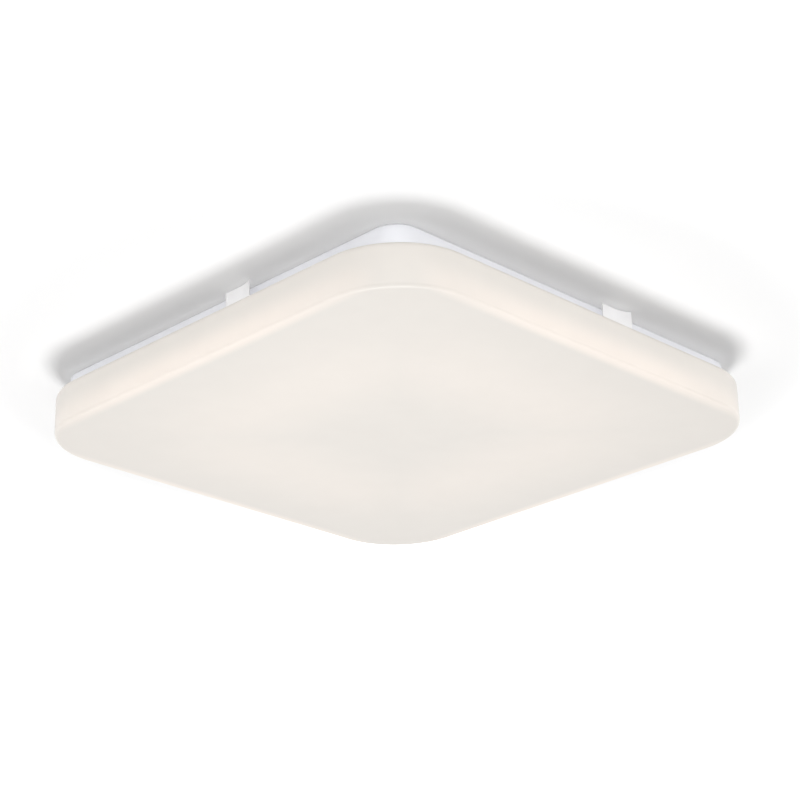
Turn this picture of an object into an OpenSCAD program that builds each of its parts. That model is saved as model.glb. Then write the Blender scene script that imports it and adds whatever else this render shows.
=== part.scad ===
// Square flush ceiling light. A drawn steel pan lies on the ceiling and carries four
// light bars, a driver and the mains terminal. Four spring clips on the pan's wall
// hold an opal hood by its curled rim.
// The origin is the centre of the pan's back, in the ceiling's plane, and the room
// is below, so every depth is measured downwards.

/* [Pan] */
// Side of the square pan
pan_side = 380; // [376:1:400]
// Outside corner radius of the pan
pan_corner = 21; // [18:1:30]
// Height of the pan's wall, from the ceiling to its lower edge
pan_depth = 26; // [24:0.5:28]
// Thickness of the pan's steel
sheet = 0.8; // [0.6:0.1:1]
// Outside radius of the drawn edge at the ceiling
pan_edge = 3; // [2:0.5:4]
// Width of the flange turned in at the pan's lower edge
flange_width = 6; // [4:0.5:10]
// Outside radius of the bend above that flange
flange_bend = 1.6; // [1.2:0.1:2.4]
// Side of the middle field, sunk to leave room for screw tips and the cable
field_side = 320; // [316:1:328]
// Corner radius of the field
field_corner = 35; // [30:1:40]
// How far the field is sunk below the ceiling
field_drop = 3.5; // [3:0.25:4.5]
// Distance between the fixing slots, both ways
fixing_spacing = 260; // [252:1:264]
// Radius of the round seat pressed back to the ceiling at each slot
fixing_seat = 14; // [11:0.5:15]
// Length of a fixing slot, end to end
slot_length = 14; // [10:0.5:16]
// Width of a fixing slot
slot_width = 5.2; // [4.2:0.1:6]
// Length of a stiffening bead, end to end
bead_length = 200; // [120:5:220]
// Width of a stiffening bead on its flat top
bead_width = 6; // [4:0.5:9]
// How far a bead is pressed back from the field towards the ceiling
bead_rise = 2.4; // [1.5:0.1:2.8]
// Distance of a bead from the pan's centre
bead_offset = 144; // [140:0.5:148]

/* [Hood] */
// How far the hood stands out past the pan on every side
hood_overhang = 20; // [19:0.5:24]
// Outside corner radius of the hood
hood_corner = 64; // [54:1:65]
// Height of the hood's wall, from rim to lower face
hood_height = 35; // [33:0.5:45]
// Distance from the ceiling to the hood's rim
rim_drop = 18.4; // [17.5:0.1:19]
// Thickness of the hood's wall and face
hood_wall = 2; // [1.6:0.1:2.4]
// Outside radius of the lower edge
hood_edge = 3.3; // [3:0.1:6]
// Outside radius of the curled rim
rim_curl = 5.3; // [4:0.1:6.5]
// Width of the curled rim, from the outer wall to its inner edge
rim_width = 8.5; // [8:0.1:8.8]
// Thickness of the stop rib in each corner of the hood
rib_thickness = 2; // [1.5:0.1:3]
// How far a stop rib reaches in under the pan's corner
rib_reach = 6; // [4:0.5:8]

/* [Spring clips] */
// Thickness of the clips' spring steel
clip_sheet = 0.5; // [0.4:0.05:0.6]
// Width of a clip's foot and catch
clip_width = 12; // [10:0.5:14]
// Distance from the middle of a side to the near edge of the foot
clip_offset = 24; // [10:1:60]
// Clear distance between the pan's wall and the finger tab
tab_standoff = 6.2; // [5.5:0.1:6.6]
// Distance from the ceiling to the top of the finger tab
tab_drop = 0.6; // [0.4:0.1:2]
// Height of the finger tab's wide part
tab_height = 15.4; // [10:0.1:16]
// Length of the flared end of the tab, along the side
flare_length = 14.5; // [8:0.5:18]
// Radius of the flared end
flare_radius = 28; // [26:1:60]
// Length of the tab's other end, which turns out slightly
lead_length = 3.5; // [2:0.5:5]
// Radius of that end
lead_radius = 9; // [8:0.5:20]
// How far the catch reaches out under the hood's rim
catch_depth = 1.6; // [1:0.1:2.2]
// Inside radius of the hairpin bend at the foot of the clip
hairpin_radius = 2.2; // [1.8:0.1:2.4]
// Distance from the ceiling to the hairpin bend's centre
hairpin_drop = 31; // [29:0.5:34]
// Distance from the ceiling to the top of the clip's foot
foot_drop = 7; // [6:0.5:9]
// Radius of a rivet's shank
rivet_radius = 1.6; // [1.2:0.1:2]
// Radius of a rivet's head
rivet_head = 3; // [2.4:0.1:3.4]
// Distance between a clip's two rivets
rivet_spacing = 8; // [7:0.5:9]
// Distance from the top of the foot to the upper rivet
rivet_margin = 4.5; // [4:0.5:6]

/* [Light bars] */
// Length of a light bar
bar_length = 196; // [192:1:200]
// Width of a light bar
bar_width = 22; // [20:0.5:24]
// Gap between the end of a light bar and the side of the next one
bar_gap = 6; // [4:0.5:8]
// Thickness of a light bar's aluminium board
bar_thickness = 1.5; // [1:0.1:2]
// Emitters on one light bar
emitter_count = 16; // [8:2:16]
// Distance from a bar's end to the middle of its last emitter
emitter_margin = 8; // [7:0.5:9]
// Length of an emitter's package
emitter_length = 3.5; // [2.8:0.1:4]
// Width of an emitter's package
emitter_width = 2.8; // [2:0.1:3.5]
// Height of an emitter's package
emitter_height = 0.8; // [0.6:0.1:1.2]
// Radius of a bar's screw shanks
bar_screw = 1.5; // [1.2:0.1:1.6]
// Radius of a bar's screw heads
bar_screw_head = 2.8; // [2.4:0.1:3]
// Length of a lead connector
connector_length = 8; // [6:0.5:9]
// Width of a lead connector
connector_width = 6; // [5:0.5:6.4]
// Height of a lead connector
connector_height = 4; // [3:0.1:5]
// Distance from a connector's middle line to the bar's middle line
connector_inset = 7; // [6.5:0.1:7.2]

/* [Driver] */
// Length of the driver's housing
driver_length = 150; // [146:1:152]
// Width of the driver's housing
driver_width = 42; // [38:0.5:46]
// Height of the driver's housing
driver_height = 21; // [20:0.5:24]
// Thickness of the housing's walls
driver_wall = 1.6; // [1.2:0.1:2]
// Corner and edge radius of the housing
driver_edge = 3; // [2.4:0.1:4]
// Length of the screw ear at each end
ear_length = 11; // [9:0.5:12]
// Width of a screw ear
ear_width = 16; // [12:0.5:20]
// Distance of the driver's middle line from the pan's centre
driver_offset = 45; // [42:0.5:50]

/* [Mains terminal] */
// Position of the terminal block from the pan's centre, to the right
terminal_x = 58; // [56:0.5:60]
// Position of the middle pole from the pan's centre, towards the back
terminal_y = 25; // [24:0.5:27]
// Length of the terminal block along the wires
terminal_length = 24; // [22:0.5:26]
// Distance between poles
pole_pitch = 9; // [8:0.5:9.5]
// Height of the terminal block
terminal_height = 17; // [16:0.5:18]
// Radius of a wire entry
entry_radius = 1.9; // [1.6:0.1:2]
// Width of a release button
button_width = 4.8; // [4:0.1:5.2]
// Length of a release button
button_length = 6; // [5:0.1:6.5]
// Travel of a release button
button_travel = 1.2; // [0.8:0.1:1.4]
// Radius of the hole in the cable grommet
cable_radius = 4.75; // [3.5:0.25:5.5]
// Radius of the cable hole in the pan
cable_hole = 10; // [9:0.5:11]
// Position of the cable hole from the pan's centre, to the right
cable_x = -15; // [-20:0.5:-12]
// Position of the cable clamp from the pan's centre, to the right
clamp_x = 22; // [18:0.5:26]
// Width of the cable clamp's strap
clamp_width = 10; // [8:0.5:12]
// Thickness of the cable clamp's strap
clamp_thickness = 1.6; // [1.2:0.1:2]
// Position of the earth screw from the pan's centre, to the right
earth_x = 84; // [82:0.5:86]
// Position of the earth screw from the pan's centre, towards the back
earth_y = 76; // [74:0.5:80]

/* [Leads] */
// Radius of an insulated lead
lead_wire = 0.8; // [0.6:0.05:0.9]
// Distance between the two leads of a pair
lead_gap = 2.4; // [2:0.1:2.8]
// Radius of the jumpers' bend
jumper_bend = 7; // [5:0.5:8]

/* [Hidden] */
$fn = 48;
// Gap between pieces of one body that lie side by side
seat = 0.05;
// Running gap around a piece that moves
running = 0.15;
// Gap left above and below the hood's rim at its catch and stops
rest_gap = 0.3;
// How far a cutter runs past the face that it opens
over = 1;

pan_half = pan_side / 2;
field_half = field_side / 2;
field_low = -field_drop - sheet;
pad_level = -field_drop;
bead_level = bead_rise - field_drop;
fixing_half = fixing_spacing / 2;

hood_half = pan_half + hood_overhang;
hood_low = -rim_drop - hood_height;
hood_floor = hood_low + hood_wall;
hood_core = hood_half - hood_corner;
rim_edge = hood_overhang - rim_width;
diagonal = sqrt(2);

catch_top = -rim_drop - hood_wall - rest_gap;
catch_reach = rim_edge + catch_depth;
foot_top = -foot_drop;
tab_top = -tab_drop;
clip_middle = clip_offset + clip_width / 2;
rivet_top = foot_top - rivet_margin;

bar_offset = bar_length / 2 + bar_gap + bar_width / 2;
emitter_pitch = (bar_length - 2 * emitter_margin) / (emitter_count - 1);
bar_screw_offset = bar_length / 2 - emitter_margin - emitter_pitch / 2;
bar_low = field_low - bar_thickness;
bar_edge = 2;
connector_middle = bar_offset - connector_inset;
connector_end = bar_length / 2 - 2;
lead_level = bar_low - connector_height / 2;
lead_depth = 2;

driver_low = field_low - driver_height;
driver_floor = 1.8;
driver_plate = field_low - driver_floor;
driver_end = driver_length / 2;
ear_middle = driver_end + ear_length / 2;
board_level = driver_plate - 4;
board_thickness = 1.2;
post_radius = 2.5;
driver_entry = field_low - 8.1;
lead_spread = 2.2;

terminal_low = field_low - terminal_height;
terminal_half = terminal_length / 2;
entry_level = field_low - 6;
well_top = entry_level - 4.2;
button_proud = 1.3;
button_collar = 0.7;
collar_lip = 0.8;
chamber_half = 6;
chamber_rise = 3;
spring_sheet = 0.4;
spring_width = 4;
terminal_ear = 2.4;
grommet_flange = 3;
grommet_thickness = 1.4;

clamp_bore = cable_radius + 0.5;
clamp_half = clamp_bore + clamp_thickness;
clamp_foot = 8;
clamp_screw = clamp_half + clamp_foot / 2;

small_screw = 1.5;
small_head = 2.8;
tip_length = 2.6;
tag_thickness = 0.8;
barrel_level = field_low - 1.4;

// Routes of the leads that are laid by hand, from their start to their end
terminal_out = terminal_x + terminal_half;
lead_in = driver_end - 3;
live_route = [[terminal_out - 2, pole_y(1), entry_level], [terminal_out + 6, pole_y(1), entry_level],
    [driver_end + 11, 8, -10.6], [driver_end + 15, -12, -11], [driver_end + 14, -32, -12],
    [driver_end + 8, lead_spread - driver_offset + 0.8, driver_entry],
    [lead_in, lead_spread - driver_offset, driver_entry]];
neutral_route = [[terminal_out - 2, pole_y(3), entry_level], [terminal_out + 8, pole_y(3), entry_level],
    [driver_end + 17, 22, -10.6], [driver_end + 20.5, -8, -11], [driver_end + 19, -36, -12],
    [driver_end + 10, 0.2 - lead_spread - driver_offset, driver_entry],
    [lead_in, -lead_spread - driver_offset, driver_entry]];
earth_route = [[terminal_out - 2, terminal_y, entry_level], [terminal_out + 5, terminal_y, entry_level],
    [82, 31, -9], [earth_x + 0.4, 46, -6.6], [earth_x, earth_y - 18, barrel_level],
    [earth_x, earth_y - 9, barrel_level]];
corner = [-connector_middle, -connector_end, lead_level];
output_route = [[-lead_in, -driver_offset, driver_entry], [-driver_end - 7, -driver_offset, driver_entry],
    [-driver_end - 16, -driver_offset - 9, driver_entry + 0.8], corner + [13, 20, -3.6],
    corner + [10, 1, -5.2], corner + [5.5, -8, -5.6], corner + [0.8, -9.6, -2.8], corner + [0, -5, 0],
    corner + [0, -1, 0], corner + [0, lead_depth, 0]];

// Square box from one corner to the other
module block(low, high) {
    translate(low) cube(high - low);
}

// Quarter of a ring, in the first quadrant
module quarter_ring(outer, inner) {
    intersection() {
        difference() {
            circle(outer);
            circle(inner);
        }
        square(outer);
    }
}

// What is cut from a square corner to round it, its centre at the origin
module corner_waste(radius) {
    difference() {
        square(radius + over);
        circle(radius);
    }
}

// Sweeps a profile round a rectangle with round corners. The profile's x runs outwards
// from the corner's centre and its y is height.
module around(half_x, half_y, corner) {
    core = [half_x - corner, half_y - corner];
    for (turn = [0 : 3]) {
        away = turn % 2 == 0 ? core : [core.y, core.x];
        rotate(90 * turn) translate([away.x, away.y, 0]) {
            rotate_extrude(angle = 90) children();
            if (away.y > 0) rotate([90, 0, 0]) linear_extrude(2 * away.y) children();
        }
    }
}

// Flat plate with round corners between two heights
module plate(half_x, half_y, corner, low, high) {
    around(half_x, half_y, corner) translate([0, low]) square([corner, high - low]);
    core = [half_x - corner, half_y - corner];
    if (core.x > 0 && core.y > 0) block([-core.x, -core.y, low], [core.x, core.y, high]);
}

// Sheet pressed from one level to another, with a side that slopes at 45 degrees
module pressing(half_x, half_y, corner, level, surround) {
    run = abs(surround - level);
    around(half_x + run, half_y + run, corner + run)
        polygon([[corner, level - sheet], [corner, level], [corner + run, surround],
            [corner + run, surround - sheet]]);
    plate(half_x, half_y, corner, level - sheet, level);
}

// Hole in a sheet that a pressing fills
module pressing_hole(half_x, half_y, corner, level, surround) {
    run = abs(surround - level);
    plate(half_x + run, half_y + run, corner + run, surround - sheet - over, surround + over);
}

// Open box with a rounded lower edge: profile of its side, from the corner's centre
module tray_profile(corner, low, high, wall, edge) {
    difference() {
        translate([0, low]) square([corner, high - low]);
        difference() {
            translate([-over, low + wall]) square([corner - wall + over, high - low]);
            translate([corner - edge, low + edge]) rotate(-90) corner_waste(edge - wall);
        }
        translate([corner - edge, low + edge]) rotate(-90) corner_waste(edge);
    }
}

// Direction from one point of a line to the next, of length 1
function direction(points, i) = (points[i + 1] - points[i]) / norm(points[i + 1] - points[i]);

// Point beside a line's point, where the two neighbouring edges meet at that distance
function beside(points, i, distance) =
    let (
        before = direction(points, max(i - 1, 0)),
        after = direction(points, min(i, len(points) - 2)),
        sum = before + after
    )
    points[i] + distance * 2 / (sum * sum) * [-sum.y, sum.x];

// Strip of sheet metal along a line of points, seen on edge
module strip(points, thickness) {
    last = len(points) - 1;
    polygon([
        for (i = [0 : last]) beside(points, i, thickness / 2),
        for (i = [0 : last]) beside(points, last - i, -thickness / 2)
    ]);
}

// Pan-head screw that goes up into the pan, its head's seat at the origin
module screw(shank, head, length) {
    cylinder(h = length, r = shank, $fn = 32);
    rotate_extrude() intersection() {
        translate([0, -head * 0.7]) square([head, head * 0.7]);
        translate([0, head * 0.5]) circle(head * 1.2);
    }
}

// Point on a smooth curve through four points, a share of the way along the middle span
function curve_point(a, b, c, d, t) =
    ((2 * b) + (c - a) * t + (2 * a - 5 * b + 4 * c - d) * t * t
    + (3 * b - 3 * c + d - a) * t * t * t) / 2;

// Points along a smooth curve through a route, with a number of steps to each span
function smooth_route(route, steps) = [
    for (i = [0 : len(route) - 2], s = [0 : steps - 1])
        curve_point(route[max(i - 1, 0)], route[i], route[i + 1],
            route[min(i + 2, len(route) - 1)], s / steps),
    route[len(route) - 1]
];

// Round lead along a smooth route, shifted sideways
module lead(route, shift = 0, sides = 8, steps = 3) {
    path = smooth_route(route, steps);
    last = len(path) - 1;
    rings = [
        for (i = [0 : last])
            let (
                ahead = path[min(i + 1, last)] - path[max(i - 1, 0)],
                across = cross(ahead, [0, 0, 1]) / norm(cross(ahead, [0, 0, 1])),
                upward = cross(across, ahead) / norm(cross(across, ahead))
            )
            for (k = [0 : sides - 1])
                path[i] + across * (shift + lead_wire * cos(360 * k / sides))
                + upward * lead_wire * sin(360 * k / sides)
    ];
    walls = [
        for (i = [0 : last - 1], k = [0 : sides - 1])
            let (a = i * sides + k, b = i * sides + (k + 1) % sides)
            each [[a, b, a + sides], [b, b + sides, a + sides]]
    ];
    first_end = [for (k = [1 : sides - 2]) [0, k + 1, k]];
    other_end = [for (k = [1 : sides - 2]) [0, k, k + 1] + [1, 1, 1] * last * sides];
    polyhedron(rings, concat(walls, first_end, other_end));
}

// Profile of the pan's edge, wall and flange, from the corner's centre
module pan_wall_profile() {
    wall_low = flange_bend - pan_depth;
    translate([pan_corner - pan_edge, -pan_edge]) quarter_ring(pan_edge, pan_edge - sheet);
    translate([pan_corner - sheet, wall_low]) square([sheet, -pan_edge - wall_low]);
    translate([pan_corner - flange_bend, wall_low])
        mirror([0, 1]) quarter_ring(flange_bend, flange_bend - sheet);
    translate([pan_corner - flange_width, -pan_depth])
        square([flange_width - flange_bend, sheet]);
    translate([0, -sheet]) square([pan_corner - pan_edge, sheet]);
}

module at_fixings() {
    for (x = [-1, 1], y = [-1, 1]) translate([x, y, 0] * fixing_half) children();
}

module at_beads() {
    for (turn = [0 : 3]) rotate(90 * turn) translate([bead_offset, 0, 0]) children();
}

// Places along the side of the pan for each clip, with x outwards from the wall
module at_clip(turn) {
    rotate(90 * turn) translate([pan_half, 0, 0]) children();
}

module at_clip_rivets(turn) {
    at_clip(turn)
        for (row = [0, 1]) translate([0, clip_middle, rivet_top - row * rivet_spacing])
            rotate([0, 90, 0]) children();
}

module at_bar_screws() {
    for (turn = [0 : 3], place = [-1, 0, 1])
        rotate(90 * turn) translate([bar_offset, place * bar_screw_offset, 0]) children();
}

module at_driver_screws() {
    for (side = [-1, 1]) translate([side * ear_middle, -driver_offset, 0]) children();
}

module at_clamp_screws() {
    for (side = [-1, 1]) translate([clamp_x, terminal_y + side * clamp_screw, 0]) children();
}

module at_terminal_screw() {
    translate([terminal_x + terminal_half + 3.4, terminal_y + 2.1 * pole_pitch, 0]) children();
}

module base_pan() {
    color("gainsboro") difference() {
        union() {
            difference() {
                union() {
                    around(pan_half, pan_half, pan_corner) pan_wall_profile();
                    core = pan_half - pan_corner;
                    block([-core, -core, -sheet], [core, core, 0]);
                }
                pressing_hole(field_half, field_half, field_corner, pad_level, 0);
            }
            difference() {
                pressing(field_half, field_half, field_corner, pad_level, 0);
                at_fixings() pressing_hole(fixing_seat, fixing_seat, fixing_seat, 0, pad_level);
                at_beads() pressing_hole(bead_width / 2, bead_length / 2, bead_width / 2,
                    bead_level, pad_level);
            }
            at_fixings() pressing(fixing_seat, fixing_seat, fixing_seat, 0, pad_level);
            at_beads() pressing(bead_width / 2, bead_length / 2, bead_width / 2,
                bead_level, pad_level);
        }
        at_fixings() slot_cutter();
        translate([cable_x, terminal_y, field_low - over]) cylinder(h = sheet + 2 * over, r = cable_hole);
        for (turn = [0 : 3]) at_clip_rivets(turn)
            translate([0, 0, -sheet - over]) cylinder(h = sheet + 2 * over, r = rivet_radius + seat);
        at_bar_screws() screw_hole(bar_screw);
        at_driver_screws() screw_hole(small_screw);
        at_clamp_screws() screw_hole(small_screw);
        at_terminal_screw() screw_hole(small_screw);
        translate([earth_x, earth_y, 0]) screw_hole(small_screw);
    }
}

module slot_cutter() {
    straight = slot_length - slot_width;
    for (side = [-1, 1]) translate([side * straight / 2, 0, -sheet - over])
        cylinder(h = sheet + 2 * over, r = slot_width / 2);
    block([-straight / 2, -slot_width / 2, -sheet - over], [straight / 2, slot_width / 2, over]);
}

module screw_hole(shank) {
    translate([0, 0, field_low - over]) cylinder(h = sheet + 2 * over, r = shank + seat, $fn = 32);
}

module cable_grommet() {
    groove = cable_hole - seat;
    brim = cable_hole + grommet_flange;
    color("dimgray") translate([cable_x, terminal_y, 0]) rotate_extrude() difference() {
        translate([cable_radius, field_low - grommet_thickness - seat])
            square([brim - cable_radius, sheet + 2 * (grommet_thickness + seat)]);
        translate([groove, field_low - seat]) square([brim, sheet + 2 * seat]);
    }
}

// Spring clip riveted to the pan's wall: foot, hairpin bend, sloping flank, catch under
// the rim, and a finger tab that flares outwards at its far end
module retaining_clip(turn) {
    middle = clip_sheet / 2;
    leaf = clip_sheet + 2 * hairpin_radius + middle;
    tab = tab_standoff + middle;
    nose = catch_reach - middle;
    ledge = catch_top - middle;
    color("whitesmoke") at_clip(turn) difference() {
        union() {
            translate([0, clip_offset + clip_width, 0]) rotate([90, 0, 0])
                linear_extrude(clip_width) {
                    translate([0, -hairpin_drop]) square([clip_sheet, hairpin_drop - foot_drop]);
                    translate([clip_sheet + hairpin_radius, -hairpin_drop]) hairpin_bend();
                    strip([[leaf, -hairpin_drop], [nose, ledge - clip_sheet], [nose, ledge],
                        [tab, ledge], [tab, tab_top - tab_height + clip_sheet]], clip_sheet);
                }
            translate([tab_standoff, clip_offset, tab_top - tab_height])
                cube([clip_sheet, clip_width, tab_height]);
            translate([0, clip_offset + clip_width, tab_top - tab_height])
                flare(flare_radius, flare_length);
            translate([0, clip_offset, tab_top - tab_height])
                mirror([0, 1, 0]) flare(lead_radius, lead_length);
        }
        for (row = [0, 1])
            translate([-over, clip_middle, rivet_top - row * rivet_spacing]) rotate([0, 90, 0])
                cylinder(h = clip_sheet + 2 * over, r = rivet_radius + seat);
    }
}

module hairpin_bend() {
    intersection() {
        difference() {
            circle(hairpin_radius + clip_sheet);
            circle(hairpin_radius);
        }
        translate([-5, -10]) square(10);
    }
}

// End of the finger tab, curving outwards along the side
module flare(radius, length) {
    intersection() {
        translate([tab_standoff + clip_sheet + radius, 0, 0]) difference() {
            cylinder(h = tab_height, r = radius + clip_sheet, $fn = 240);
            translate([0, 0, -over]) cylinder(h = tab_height + 2 * over, r = radius, $fn = 240);
        }
        translate([tab_standoff, 0, 0]) cube([radius, length, tab_height]);
    }
}

module clip_rivets() {
    tail = 1.4;
    color("silver") for (turn = [0 : 3]) at_clip_rivets(turn) {
        translate([0, 0, -sheet - tail]) cylinder(h = sheet + tail + clip_sheet, r = rivet_radius);
        translate([0, 0, -sheet - tail]) cylinder(h = tail, r = rivet_head * 0.8);
        translate([0, 0, clip_sheet]) rotate_extrude() intersection() {
            square([rivet_head, rivet_head / 2]);
            translate([0, -rivet_head]) circle(rivet_head * diagonal);
        }
    }
}

module diffuser_hood() {
    color("ivory") {
        around(hood_half, hood_half, hood_corner) {
            tray_profile(hood_corner, hood_low, -rim_drop - rim_curl, hood_wall, hood_edge);
            translate([hood_corner - rim_curl, -rim_drop - rim_curl])
                quarter_ring(rim_curl, rim_curl - hood_wall);
            translate([hood_corner - rim_width, -rim_drop - hood_wall])
                square([rim_width - rim_curl, hood_wall]);
        }
        block([-hood_core, -hood_core, hood_low], [hood_core, hood_core, hood_floor]);
        for (turn = [0 : 3]) rotate(45 + 90 * turn) stop_rib();
    }
}

// Rib inside a corner of the hood, which stops under the pan's corner
module stop_rib() {
    inner = (pan_half - pan_corner) * diagonal + pan_corner - rib_reach;
    outer = hood_core * diagonal + hood_corner - hood_wall / 2;
    block([inner, -rib_thickness / 2, hood_low + hood_wall / 2],
        [outer, rib_thickness / 2, -pan_depth - rest_gap]);
}

module light_bar(turn) {
    color("white") rotate(90 * turn) translate([bar_offset, 0, 0]) difference() {
        plate(bar_width / 2, bar_length / 2, bar_edge, bar_low, field_low);
        for (place = [-1, 0, 1])
            translate([0, place * bar_screw_offset, bar_low - over])
                cylinder(h = bar_thickness + 2 * over, r = bar_screw + 2 * seat, $fn = 32);
    }
}

module light_emitters() {
    first = -(emitter_count - 1) / 2;
    color("gold") for (turn = [0 : 3], i = [0 : emitter_count - 1])
        rotate(90 * turn) translate([bar_offset, (first + i) * emitter_pitch, bar_low - emitter_height / 2])
            cube([emitter_width, emitter_length, emitter_height], center = true);
}

// Connector for a pair of leads at each end of every light bar
module lead_connectors() {
    color("white") for (turn = [0 : 3], side = [-1, 1])
        rotate(90 * turn) translate([connector_middle, side * connector_end, lead_level])
            rotate([90 * side, 0, 0]) difference() {
                translate([-connector_width / 2, -connector_height / 2, 0])
                    cube([connector_width, connector_height, connector_length]);
                for (pole = [-1, 1])
                    translate([pole * lead_gap / 2, 0, -over])
                        cylinder(h = lead_depth + over, r = lead_wire + 2 * seat, $fn = 24);
            }
}

module light_bar_screws() {
    color("silver") at_bar_screws() translate([0, 0, bar_low])
        screw(bar_screw, bar_screw_head, bar_thickness + tip_length);
}

module driver_base() {
    rim = driver_wall + running;
    color("white") translate([0, -driver_offset, 0]) difference() {
        union() {
            plate(driver_end, driver_width / 2, driver_edge, driver_plate, field_low);
            plate(driver_end + ear_length, ear_width / 2, driver_edge, driver_plate, field_low);
            difference() {
                plate(driver_end - rim, driver_width / 2 - rim, driver_edge,
                    driver_plate - 3, driver_plate);
                plate(driver_end - 2 * rim, driver_width / 2 - 2 * rim, driver_edge,
                    driver_plate - 3 - over, driver_plate);
            }
            for (x = [-1, 1], y = [-1, 1])
                translate([x * (driver_end - 10), y * (driver_width / 2 - 8), board_level])
                    cylinder(h = driver_plate - board_level, r = post_radius);
        }
        for (side = [-1, 1]) translate([side * ear_middle, 0, driver_plate - over])
            cylinder(h = driver_floor + 2 * over, r = small_screw + 2 * seat, $fn = 32);
    }
}

module driver_board() {
    rim = 2 * (driver_wall + running) + 1;
    color("darkgreen") translate([0, -driver_offset, 0])
        block([rim - driver_end, rim - driver_width / 2, board_level - board_thickness],
            [driver_end - rim, driver_width / 2 - rim, board_level]);
}

module driver_transformer() {
    low = board_level - board_thickness;
    color("goldenrod") translate([-24, -driver_offset, 0]) {
        block([-11, -9, low - 11], [11, 9, low - 8.5]);
        block([-11, -9, low - 2.5], [11, 9, low]);
        block([-7, -6, low - 8.5], [7, 6, low - 2.5]);
        for (side = [-1, 1]) translate([side * 9.5, 0, 0])
            block([-1.5, -5, low - 8.5], [1.5, 5, low - 2.5]);
    }
}

module driver_capacitor() {
    radius = 5;
    color("black") translate([18, -driver_offset, board_level - board_thickness - radius])
        rotate([0, 90, 0]) cylinder(h = 20, r = radius);
}

module driver_cover() {
    color("white") translate([0, -driver_offset, 0]) difference() {
        union() {
            around(driver_end, driver_width / 2, driver_edge)
                tray_profile(driver_edge, driver_low, driver_plate, driver_wall, driver_edge);
            core = [driver_end, driver_width / 2] - [driver_edge, driver_edge];
            block([-core.x, -core.y, driver_low], [core.x, core.y, driver_low + driver_wall]);
        }
        for (side = [-1, 1], pole = [-1, 1])
            translate([side * driver_end, pole * (side > 0 ? lead_spread : lead_gap / 2), driver_entry])
                rotate([0, 90, 0])
                    cylinder(h = 4 * driver_wall, r = lead_wire + 0.9, center = true, $fn = 24);
    }
}

module driver_screws() {
    color("silver") at_driver_screws() translate([0, 0, driver_plate])
        screw(small_screw, small_head, driver_floor + tip_length);
}

function pole_y(pole) = terminal_y + (pole - 2) * pole_pitch;

module terminal_block() {
    width = 3 * pole_pitch + 3;
    well = [button_length / 2, button_width / 2] + [running, running];
    color("white") difference() {
        union() {
            translate([terminal_x, terminal_y, 0])
                plate(terminal_half, width / 2, 1.5, terminal_low, field_low);
            at_terminal_screw() plate(4, 4, 3, field_low - terminal_ear, field_low);
            translate([terminal_x, terminal_y, 0])
                block([terminal_half - 3, 1.7 * pole_pitch - 2, field_low - terminal_ear],
                    [terminal_half + 3, 2.1 * pole_pitch + 4, field_low]);
        }
        for (pole = [1 : 3]) translate([terminal_x, pole_y(pole), 0]) {
            for (side = [-1, 1]) translate([side * terminal_half, 0, entry_level])
                rotate([0, 90, 0]) cylinder(h = 14, r = entry_radius, center = true);
            block([-chamber_half, -well.y, well_top], [chamber_half, well.y, entry_level + chamber_rise]);
            block([-well.x, -well.y, terminal_low - over], [well.x, well.y, well_top + over]);
        }
        at_terminal_screw() translate([0, 0, field_low - 3])
            cylinder(h = 4, r = small_screw + 2 * seat, $fn = 32);
    }
}

module terminal_screw() {
    color("silver") at_terminal_screw() translate([0, 0, field_low - terminal_ear])
        screw(small_screw, small_head, terminal_ear + tip_length);
}

// Bent spring that clamps a wire, held in its chamber above the release button
module terminal_spring(pole) {
    top = entry_level + chamber_rise - spring_sheet / 2 - seat;
    low = entry_level - 2.9;
    color("silver") translate([terminal_x, pole_y(pole) + spring_width / 2, 0]) rotate([90, 0, 0])
        linear_extrude(spring_width)
            strip([[-5, top], [4, top], [5.5, top - 1.5], [5.5, low + 1.3], [4, low], [-1, low],
                [-4.5, low + 2.4]], spring_sheet);
}

// Button with a collar that rests on the floor of the spring's chamber
module release_button(pole) {
    half = [button_length / 2, button_width / 2];
    low = terminal_low - button_proud;
    slot = 1;
    color("orange") translate([terminal_x, pole_y(pole), 0]) difference() {
        union() {
            block([-half.x, -half.y, low], [half.x, half.y, well_top + seat + button_collar]);
            block([-half.x - collar_lip, -half.y, well_top + seat],
                [half.x + collar_lip, half.y, well_top + seat + button_collar]);
        }
        block([slot - half.x, -slot / 2, low - over], [half.x - slot, slot / 2, low + slot]);
    }
}

// Saddle over the mains cable, screwed down on both sides
module cable_clamp() {
    color("white") translate([clamp_x + clamp_width / 2, terminal_y, field_low]) rotate([90, 0, -90])
        difference() {
            linear_extrude(clamp_width) clamp_profile();
            for (side = [-1, 1])
                translate([side * clamp_screw, over, clamp_width / 2]) rotate([90, 0, 0])
                    cylinder(h = clamp_thickness + 2 * over, r = small_screw + 2 * seat, $fn = 32);
        }
}

module clamp_profile() {
    rise = 2;
    reach = clamp_half + clamp_foot;
    difference() {
        union() {
            translate([-reach, -clamp_thickness]) square([2 * reach, clamp_thickness]);
            translate([-clamp_half, -rise]) square([2 * clamp_half, rise]);
            translate([0, -rise]) mirror([0, 1]) half_disc(clamp_half);
        }
        translate([0, -rise]) mirror([0, 1]) half_disc(clamp_bore);
        translate([-clamp_bore, -rise]) square([2 * clamp_bore, rise + over]);
    }
}

module half_disc(radius) {
    intersection() {
        circle(radius);
        translate([-radius, 0]) square([2 * radius, radius]);
    }
}

module cable_clamp_screws() {
    color("silver") at_clamp_screws() translate([0, 0, field_low - clamp_thickness])
        screw(small_screw, small_head, clamp_thickness + tip_length);
}

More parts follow.
